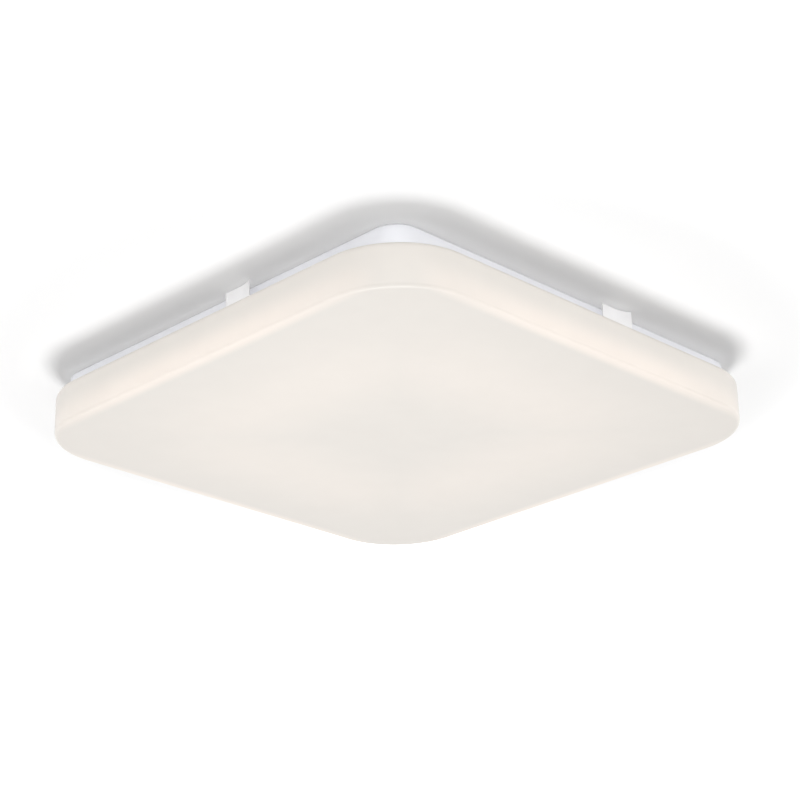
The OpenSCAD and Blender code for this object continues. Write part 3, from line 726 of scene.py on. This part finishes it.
class LightStage(bpy.types.PropertyGroup):
    ceiling: tint("Ceiling", "Colour of the ceiling", (0.70, 0.70, 0.70))
    ceiling_size: length("Ceiling size", "Side of the square of ceiling", 4.4)
    ceiling_white: number("Ceiling white", "White that the camera sees near the light", 0.25)
    ambient: number("Ambient", "Strength of the room's light from straight below or above", 0.1)
    side_light: number("Side light", "Strength of the room's light from the side", 1.0)
    key_power: number("Key power", "Power of the lamp that casts the shadow", 142, "POWER")
    near_power: number("Near power", "Power of the small lamp close below the light", 0.5, "POWER")
    front_power: number("Front power", "Power of the lamp behind the camera", 6, "POWER")
    left_power: number("Left power", "Power of the lamp for the left side", 86, "POWER")
    right_power: number("Right power", "Power of the lamp for the right side", 98.9, "POWER")
    back_power: number("Back power", "Power of the lamp above the ceiling", 36, "POWER")
    lens: number("Lens", "Focal length of the camera, in millimetres", 98.6, "CAMERA")


def groups():
    """The sizes, the looks and the stage as they are set now."""
    scene = bpy.context.scene
    return scene.light_sizes, scene.light_looks, scene.light_stage


# Operators


class LIGHT_OT_stage(bpy.types.Operator):
    """Set the ceiling, the lamps, the world and the camera"""

    bl_idname = "light.stage"
    bl_label = "Stage"

    def ceiling(self, stage):
        """Ceiling that is there from below alone, and behind the pan for the camera alone."""
        bpy.ops.object.select_all(action="DESELECT")
        bpy.ops.mesh.primitive_plane_add(
            size=stage.ceiling_size, location=(0, 0, 0.0004), rotation=(math.pi, 0, 0)
        )
        piece = added("ceiling")
        paint = Paint("ceiling_paint", roughness=0.9, specular=0.0)
        paint.put("Base Color", stage.ceiling)
        seen = paint.seen()
        away = (paint.x ** 2 + paint.y ** 2) ** 0.5
        white = away.ramp(WHITE_START, WHITE_END, stage.ceiling_white, 1.0) * seen
        glow = paint.node("ShaderNodeEmission", {}, {"Color": (1, 1, 1), "Strength": white})
        painted = paint.shader.outputs[0]
        both = paint.node("ShaderNodeAddShader", {}, {0: painted, 1: glow.outputs[0]})
        clear = paint.node("ShaderNodeBsdfTransparent")
        core, margin = PAN_HALF - PAN_CORNER, 0.004
        out_x, out_y = ((abs(side) - core).highest(0) for side in (paint.x, paint.y))
        beyond_pan = ((out_x ** 2 + out_y ** 2) ** 0.5).above(PAN_CORNER - margin)
        from_above = Value(paint, paint.node("ShaderNodeNewGeometry").outputs["Backfacing"])
        shown = (1 - from_above) * beyond_pan.highest(seen)
        result = paint.node(
            "ShaderNodeMixShader", {}, {0: shown, 1: clear.outputs[0], 2: both.outputs[0]}
        )
        paint.fill(paint.nodes["Material Output"].inputs["Surface"], result.outputs[0])
        piece.data.materials.append(paint.material)

    def world(self, stage):
        """Light from all round, strongest from the side, which the camera sees as white."""
        world = bpy.context.scene.world = bpy.data.worlds.new("room")
        tree = Tree(world)
        direction = tree.node("ShaderNodeTexCoord").outputs["Generated"]
        height = tree.node("ShaderNodeSeparateXYZ", {}, {"Vector": direction}).outputs["Z"]
        light = abs(Value(tree, height)).ramp(0.0, 0.8, stage.side_light, stage.ambient)
        background = tree.nodes["Background"].inputs
        tree.fill(background["Color"], (1, 1, 1))
        tree.fill(background["Strength"], light.highest(tree.seen()))

    def lamps(self, stage):
        """Soft round lamps, turned to the light.

        The two side lamps leave no gloss, and the clips throw no shadow of them on the pan.
        """
        clips = bpy.data.collections.new("clips")
        for turn in range(4):
            clips.objects.link(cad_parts[f"retaining_clip_{turn + 1}"])
        for clip in clips.collection_objects:
            clip.light_linking.link_state = "EXCLUDE"
        for name, (place, width) in LAMPS.items():
            data = bpy.data.lights.new(name, "AREA")
            data.shape, data.size = "DISK", width
            data.energy = getattr(stage, name.replace("lamp", "power"))
            lamp = bpy.data.objects.new(name, data)
            lamp.location = place
            lamp.rotation_euler = (-Vector(place)).to_track_quat("-Z", "Y").to_euler()
            lamp.visible_camera = False
            if name in SIDE_LAMPS:
                lamp.visible_glossy = False
                lamp.light_linking.blocker_collection = clips
            bpy.context.scene.collection.objects.link(lamp)

    def camera(self, stage):
        """Camera below the light, looking up along its diagonal."""
        data = bpy.data.cameras.new("camera")
        data.lens, data.sensor_width = stage.lens, 36
        camera = bpy.data.objects.new("camera", data)
        turn, tilt, lean = (
            Matrix.Rotation(math.radians(angle), 3, axis)
            for angle, axis in ((CAMERA_YAW, "Z"), (90 - CAMERA_PITCH, "X"), (CAMERA_ROLL, "Z"))
        )
        right, down, ahead = lean @ tilt @ turn
        axes = Matrix((right, -down, -ahead)).transposed()
        place = -(Matrix((right, down, ahead)).transposed() @ LIGHT_FROM_CAMERA)
        camera.matrix_world = Matrix.Translation(place) @ axes.to_4x4()
        bpy.context.scene.collection.objects.link(camera)
        bpy.context.scene.camera = camera

    def execute(self, context):
        stage = groups()[2]
        self.ceiling(stage)
        self.world(stage)
        self.lamps(stage)
        self.camera(stage)
        context.scene.view_settings.view_transform = "Standard"
        return {"FINISHED"}


class LIGHT_OT_hood(bpy.types.Operator):
    """Model the opal hood with its curled rim and its stop ribs"""

    bl_idname = "light.hood"
    bl_label = "Hood"

    def shell(self, sizes):
        """Drawn shell, from its lower face up to the rim that turns inwards."""
        low, high, rim_edge = HOOD_LOW.z, HOOD_HIGH.z, 0.0005
        piece = round_square("opal_hood", HOOD_HIGH.x, sizes.hood_corner, low, 24)
        bpy.ops.mesh.extrude_region_move(TRANSFORM_OT_translate=raised(high - low))
        bpy.ops.mesh.inset(thickness=sizes.rim_width, depth=0)
        bpy.ops.mesh.delete(type="FACE")
        pick(piece, "EDGE", self.meets_wall(high))
        bpy.ops.mesh.bevel(offset=sizes.rim_curl, segments=8, affect="EDGES")
        pick(piece, "EDGE", lies_at(Z, low))
        bpy.ops.mesh.bevel(offset=sizes.hood_edge, segments=8, affect="EDGES")
        pick(piece, "FACE", lambda face: True)
        bpy.ops.mesh.normals_make_consistent(inside=False)
        modify(piece, "SOLIDIFY", thickness=sizes.wall, offset=-1, use_even_offset=True)
        modify(piece, "BEVEL", width=rim_edge, segments=3, limit_method="ANGLE",
               angle_limit=math.radians(60))
        return done(piece)

    def meets_wall(self, height):
        """Test for the level edges at a height where the wall ends."""
        level = lies_at(Z, height)
        return lambda edge: level(edge) and any(
            abs(face.normal.z) < 0.5 for face in edge.link_faces
        )

    def ribs(self, sizes):
        """Stop ribs that stand in the hood's corners, with round inner edges."""
        low, rib_edge = HOOD_LOW.z + sizes.wall / 2, 0.0007
        middle = ((RIB_NEAR + RIB_FAR) / 2, 0, (low + RIB_TOP) / 2)
        rib = block("rib", middle, (RIB_FAR - RIB_NEAR, sizes.rib, RIB_TOP - low))
        edit(rib)
        inner, upright = lies_at(X, RIB_NEAR), reaches(Z, 0.01)
        pick(rib, "EDGE", lambda edge: inner(edge) and upright(edge))
        bpy.ops.mesh.bevel(offset=rib_edge, segments=3, affect="EDGES")
        bpy.ops.object.mode_set(mode="OBJECT")
        diagonal = Matrix.Rotation(QUARTER / 2, 4, "Z")
        return done(copies(rib, [turn @ diagonal for turn in QUARTER_TURNS], "hood_ribs"))

    def execute(self, context):
        sizes, looks, _ = groups()
        material = opal_plastic(looks)
        finish_piece(self.shell(sizes), "hood", "opal_plastic", [material], "diffuser_hood")
        finish_piece(self.ribs(sizes), "hood", "opal_plastic", [material])
        return {"FINISHED"}


class LIGHT_OT_pan(bpy.types.Operator):
    """Paint the pan, its clips, rivets and grommet"""

    bl_idname = "light.pan"
    bl_label = "Pan"

    def execute(self, context):
        looks = groups()[1]
        dress("base_pan", powder_coat("pan_paint", looks.pan))
        clip = powder_coat("clip_paint", looks.clip, roughness=0.36, peel=0.06)
        for turn in range(4):
            dress(f"retaining_clip_{turn + 1}", clip)
        dress("clip_rivets", bare_metal("rivet_metal", looks.rivet))
        dress("cable_grommet", moulded_plastic("grommet_rubber", looks.grommet, roughness=0.75))
        return {"FINISHED"}


class LIGHT_OT_screws(bpy.types.Operator):
    """Model the screws with their cross recesses"""

    bl_idname = "light.screws"
    bl_label = "Screws"

    def screw(self, sizes, reach):
        """Pan-head screw that goes up, with the seat of its head at the origin."""
        head, depth = sizes.screw_head, sizes.screw_head * 0.7
        dome, tip, narrow = depth * 0.55, 0.0008, (0.55, 0.55, 1)
        recess = (head * 1.15, head * 0.24, depth * 1.2)
        bpy.ops.object.select_all(action="DESELECT")
        bpy.ops.mesh.primitive_cylinder_add(
            vertices=32, radius=head, depth=depth, location=(0, 0, -depth / 2)
        )
        piece = added("screw")
        edit(piece)
        pick(piece, "EDGE", lies_at(Z, -depth))
        bpy.ops.mesh.bevel(offset=dome, segments=5, affect="EDGES")
        pick(piece, "FACE", faces_up)
        bpy.ops.mesh.inset(thickness=head - sizes.screw_shank, depth=0)
        bpy.ops.mesh.extrude_region_move(TRANSFORM_OT_translate=raised(reach - tip))
        bpy.ops.mesh.extrude_region_move(TRANSFORM_OT_translate=raised(tip))
        bpy.ops.transform.resize(value=narrow, center_override=(0, 0, reach))
        bpy.ops.object.mode_set(mode="OBJECT")
        for angle in (0, QUARTER):
            cutter = block("cutter", (0, 0, -depth), recess, angle)
            edit(cutter)
            pick(cutter, "FACE", faces_up)
            bpy.ops.transform.resize(value=narrow, center_override=(0, 0, 0))
            cut(piece, cutter)
        return piece

    def group(self, sizes, node, places, grip, steel):
        """Screws of one node, each stopped at another angle."""
        turned = [
            place @ Matrix.Rotation(0.7 * i + 0.3, 4, "Z") for i, place in enumerate(places)
        ]
        screw = self.screw(sizes, grip + sizes.screw_tip)
        piece = done(copies(screw, turned, node.replace("screw", "cross_screw")))
        finish_piece(piece, "fixture", "screw_steel", [steel], node)

    def execute(self, context):
        sizes, looks, _ = groups()
        steel = bare_metal("screw_steel", looks.screw, roughness=0.32)
        bars = [turn @ Matrix.Translation((BAR_MIDDLE, place, BAR_LOW.z))
                for turn in QUARTER_TURNS for place in BAR_SCREW_PLACES]
        self.group(sizes, "light_bar_screws", bars, BAR_SCREW_GRIP, steel)
        for node, (seats, grip) in SCREWS.items():
            self.group(sizes, node, [Matrix.Translation(seat) for seat in seats], grip, steel)
        return {"FINISHED"}


class LIGHT_OT_bars(bpy.types.Operator):
    """Model the emitters and connectors, and paint the light bars"""

    bl_idname = "light.bars"
    bl_label = "Light bars"

    def emitters(self, sizes):
        """Small packages in a row on each bar, with a window sunk in their lower face."""
        start = -(sizes.emitters - 1) / 2 * sizes.emitter_pitch
        chamfer, window_depth = 0.0002, 0.00015
        size = (sizes.emitter_width, sizes.emitter_length, sizes.emitter_height)
        piece = block("emitter", (BAR_MIDDLE, start, BAR_LOW.z - sizes.emitter_height / 2), size)
        edit(piece)
        pick(piece, "EDGE", reaches(Z, sizes.emitter_height / 2))
        bpy.ops.mesh.bevel(offset=chamfer, segments=1, affect="EDGES")
        pick(piece, "FACE", faces_down)
        bpy.ops.mesh.inset(thickness=sizes.emitter_frame, depth=0)
        bpy.ops.mesh.extrude_region_move(TRANSFORM_OT_translate=raised(window_depth))
        modify(piece, "ARRAY", count=sizes.emitters, use_relative_offset=False,
               use_constant_offset=True, constant_offset_displace=(0, sizes.emitter_pitch, 0))
        piece = copies(piece, QUARTER_TURNS, "emitter_packages")
        sunk = BAR_LOW.z - sizes.emitter_height + 0.0001
        for face in piece.data.polygons:
            if faces_down(face) and face.center.z > sunk:
                face.material_index = 1
        return piece

    def execute(self, context):
        sizes, looks, _ = groups()
        frame_plastic = moulded_plastic("emitter_frame", looks.emitter, roughness=0.35)
        finish_piece(self.emitters(sizes), "fixture", "emitter_gel",
                     [frame_plastic, phosphor(looks)], "light_emitters")
        mask = solder_mask(sizes, looks)
        for turn in range(4):
            dress(f"light_bar_{turn + 1}", mask)
        connectors = soften(merged_copy("lead_connectors", "connector_shells"), MOULDED_EDGE)
        finish_piece(connectors, "fixture", "connector_plastic",
                     [moulded_plastic("connector_plastic", looks.connector)], "lead_connectors")
        return {"FINISHED"}


class LIGHT_OT_driver(bpy.types.Operator):
    """Model the driver's housing with its vents, and finish what is inside it"""

    bl_idname = "light.driver"
    bl_label = "Driver"

    def shell(self, sizes):
        """Housing with a groove over its base, a blank sunk panel, vents and lead holes."""
        low, high = low_corner("driver_cover"), high_corner("driver_cover")
        middle, size = (low + high) / 2, high - low
        wall, lower_edge = sizes.driver_wall, sizes.driver_edge * 0.8
        border, panel_depth, panel_corner = 0.006, 0.0004, 0.002
        piece = round_block("driver_shell", middle, size, sizes.driver_edge)
        pick(piece, "EDGE", lies_at(Z, low.z))
        bpy.ops.mesh.bevel(offset=lower_edge, segments=5, affect="EDGES")
        self.groove(piece, high.z - 0.0022, high.z - 0.0014, 0.0003)
        inside = size - 2 * Vector((wall, wall, 0))
        cut(piece, block("hollow", middle + Vector((0, 0, wall)), inside))
        panel = Vector((size.x - 2 * border, size.y - 2 * border, 2 * panel_depth))
        sunk = round_block("panel", Vector((middle.x, middle.y, low.z)), panel, panel_corner)
        cut(piece, sunk)
        cut(piece, self.vents(sizes, middle, size))
        for side, spread in LEAD_HOLE_SPREAD.items():
            for pole in (-1, 1):
                place = (side * high.x, middle.y + pole * spread, LEAD_HOLE_HEIGHT)
                cut(piece, level_cylinder("hole", place, sizes.lead_hole, 0.006, 24))
        return piece

    def groove(self, piece, low, high, depth):
        """Fine groove round the wall between two heights."""
        slice_at(Z, low, high)
        pick(piece, "FACE", lambda face: low < face.calc_center_median().z < high)
        bpy.ops.mesh.extrude_region_shrink_fatten(
            TRANSFORM_OT_shrink_fatten={"value": -depth, "use_even_offset": True}
        )
        bpy.ops.object.mode_set(mode="OBJECT")

    def vents(self, sizes, middle, size):
        """Cutter for the rows of slots in both long walls."""
        first, drop = 0.030, 0.0005
        slot = block("vent", (0, 0, 0), (sizes.vent_width, size.y * 1.2, sizes.vent_height))
        edit(slot)
        pick(slot, "EDGE", reaches(Y, size.y))
        bpy.ops.mesh.bevel(offset=sizes.vent_width / 2 - 0.00005, segments=3, affect="EDGES")
        bpy.ops.object.mode_set(mode="OBJECT")
        across = [side * (first + sizes.vent_pitch * i)
                  for side in (-1, 1) for i in range(sizes.vents)]
        places = [Matrix.Translation((x, middle.y, middle.z - drop)) for x in across]
        return copies(slot, places, "vents")

    def capacitor(self):
        """Can with round ends and a pressed groove near its sealed one."""
        low, high = low_corner("driver_capacitor"), high_corner("driver_capacitor")
        middle, size = (low + high) / 2, high - low
        piece = level_cylinder("capacitor_can", middle, size.z / 2, size.x, 48)
        edit(piece)
        groove, half_width, pressed, end_edge = low.x + 0.0028, 0.0006, 0.88, 0.0007
        slice_at(X, groove - half_width, groove, groove + half_width)
        pick(piece, "EDGE", lies_at(X, groove))
        bpy.ops.transform.resize(value=(1, pressed, pressed), center_override=middle)
        left, right = lies_at(X, low.x), lies_at(X, high.x)
        pick(piece, "EDGE", lambda edge: left(edge) or right(edge))
        bpy.ops.mesh.bevel(offset=end_edge, segments=4, affect="EDGES")
        return done(piece)

    def execute(self, context):
        sizes, looks, _ = groups()
        housing = moulded_plastic("housing_plastic", looks.housing, roughness=0.48)
        shell = soften(self.shell(sizes), SHELL_EDGE)
        finish_piece(shell, "fixture", "driver_plastic", [housing], "driver_cover")
        base = soften(merged_copy("driver_base", "driver_tray"), MOULDED_EDGE)
        finish_piece(base, "fixture", "driver_plastic", [housing], "driver_base")
        dress("driver_board", laminate(looks))
        dress("driver_transformer", taped_core(looks))
        finish_piece(self.capacitor(), "fixture", "capacitor_can",
                     [shrunk_sleeve(looks)], "driver_capacitor")
        return {"FINISHED"}


class LIGHT_OT_terminal(bpy.types.Operator):
    """Finish the mains terminal, the cable clamp and the earth tag"""

    bl_idname = "light.terminal"
    bl_label = "Mains terminal"

    def execute(self, context):
        looks = groups()[1]
        plastic = moulded_plastic("terminal_plastic", looks.terminal, roughness=0.4)
        body = soften(merged_copy("terminal_block", "terminal_body"), MOULDED_EDGE)
        finish_piece(body, "fixture", "terminal_plastic", [plastic], "terminal_block")
        saddle = soften(merged_copy("cable_clamp", "cable_saddle"), MOULDED_EDGE)
        finish_piece(saddle, "fixture", "terminal_plastic", [plastic], "cable_clamp")
        steel = bare_metal("spring_steel", looks.bright_metal, roughness=0.22)
        orange = moulded_plastic("button_plastic", looks.button, roughness=0.38)
        for pole in range(1, 4):
            strip = done(merged_copy(f"terminal_spring_{pole}", f"bent_spring_{pole}"))
            finish_piece(strip, None, "spring_steel", [steel], f"terminal_spring_{pole}")
            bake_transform(strip)
            button = merged_copy(f"release_button_{pole}", f"lever_button_{pole}")
            finish_piece(soften(button, BUTTON_EDGE), f"button_{pole}", "button_plastic",
                         [orange], f"release_button_{pole}")
        dress("earth_tag", bare_metal("tinned_metal", looks.bright_metal, roughness=0.35))
        return {"FINISHED"}


class LIGHT_OT_leads(bpy.types.Operator):
    """Model the leads that curve freely and paint the others"""

    bl_idname = "light.leads"
    bl_label = "Leads"

    def lead(self, name, route, radius, shift=0.0):
        """Round lead along a smooth curve through a route, shifted sideways."""
        bpy.ops.object.select_all(action="DESELECT")
        bpy.ops.curve.primitive_bezier_curve_add(location=(0, 0, 0))
        path = bpy.context.object.data
        knots = path.splines[0].bezier_points
        knots.add(len(route) - len(knots))
        spots = [Vector(spot) for spot in route]
        for i, knot in enumerate(knots):
            pull = (spots[min(i + 1, len(spots) - 1)] - spots[max(i - 1, 0)]) / 6
            spot = spots[i] + pull.cross(Vector((0, 0, 1))).normalized() * shift
            knot.handle_left_type = knot.handle_right_type = "FREE"
            knot.co, knot.handle_left, knot.handle_right = spot, spot - pull, spot + pull
        path.bevel_depth, path.bevel_resolution, path.resolution_u = radius, 3, 10
        path.use_fill_caps = True
        bpy.ops.object.convert(target="MESH")
        piece = added(name)
        modify(piece, "WELD", merge_threshold=1e-6)
        return done(piece)

    def execute(self, context):
        sizes, looks, _ = groups()
        radius = sizes.lead_radius
        live = moulded_plastic("live_insulation", looks.live, roughness=0.38, grain=0.05)
        neutral = moulded_plastic("neutral_insulation", looks.neutral, roughness=0.38, grain=0.05)
        pale = moulded_plastic("lead_insulation", looks.output, roughness=0.4, grain=0.05)
        for name, route, material in (
            ("live", LIVE_ROUTE, live),
            ("neutral", NEUTRAL_ROUTE, neutral),
            ("earth", EARTH_ROUTE, striped_insulation(looks)),
        ):
            piece = self.lead(f"{name}_wire", route, radius)
            finish_piece(piece, "fixture", f"{name}_insulation", [material], f"{name}_lead")
        pair = [
            self.lead(f"output_{side}", OUTPUT_ROUTE, radius, side * sizes.lead_gap / 2)
            for side in (-1, 1)
        ]
        finish_piece(joined(pair, "output_wires"), "fixture", "output_insulation",
                     [pale], "output_leads")
        dress("jumper_leads", pale)
        return {"FINISHED"}


class LIGHT_PT_panel(bpy.types.Panel):
    bl_label = "Ceiling Light"
    bl_space_type = "VIEW_3D"
    bl_region_type = "UI"
    bl_category = "Ceiling Light"

    def draw(self, context):
        for operator in OPERATORS:
            self.layout.operator(operator.bl_idname)
        for group in groups():
            box = self.layout.box()
            for name in group.__annotations__:
                box.prop(group, name)


GROUPS = {"light_sizes": LightSizes, "light_looks": LightLooks, "light_stage": LightStage}
OPERATORS = (
    LIGHT_OT_stage, LIGHT_OT_hood, LIGHT_OT_pan, LIGHT_OT_screws,
    LIGHT_OT_bars, LIGHT_OT_driver, LIGHT_OT_terminal, LIGHT_OT_leads,
)


def register():
    for group in GROUPS.values():
        bpy.utils.register_class(group)
    for name, group in GROUPS.items():
        setattr(bpy.types.Scene, name, bpy.props.PointerProperty(type=group))
    for shown in (*OPERATORS, LIGHT_PT_panel):
        bpy.utils.register_class(shown)


def unregister():
    for shown in reversed((*OPERATORS, LIGHT_PT_panel)):
        bpy.utils.unregister_class(shown)
    for name, group in GROUPS.items():
        delattr(bpy.types.Scene, name)
        bpy.utils.unregister_class(group)


def main():
    """Makes the whole scene."""
    register()
    bpy.ops.light.stage()
    bpy.ops.light.hood()
    bpy.ops.light.pan()
    bpy.ops.light.screws()
    bpy.ops.light.bars()
    bpy.ops.light.driver()
    bpy.ops.light.terminal()
    bpy.ops.light.leads()


if __name__ == "__main__":
    main()
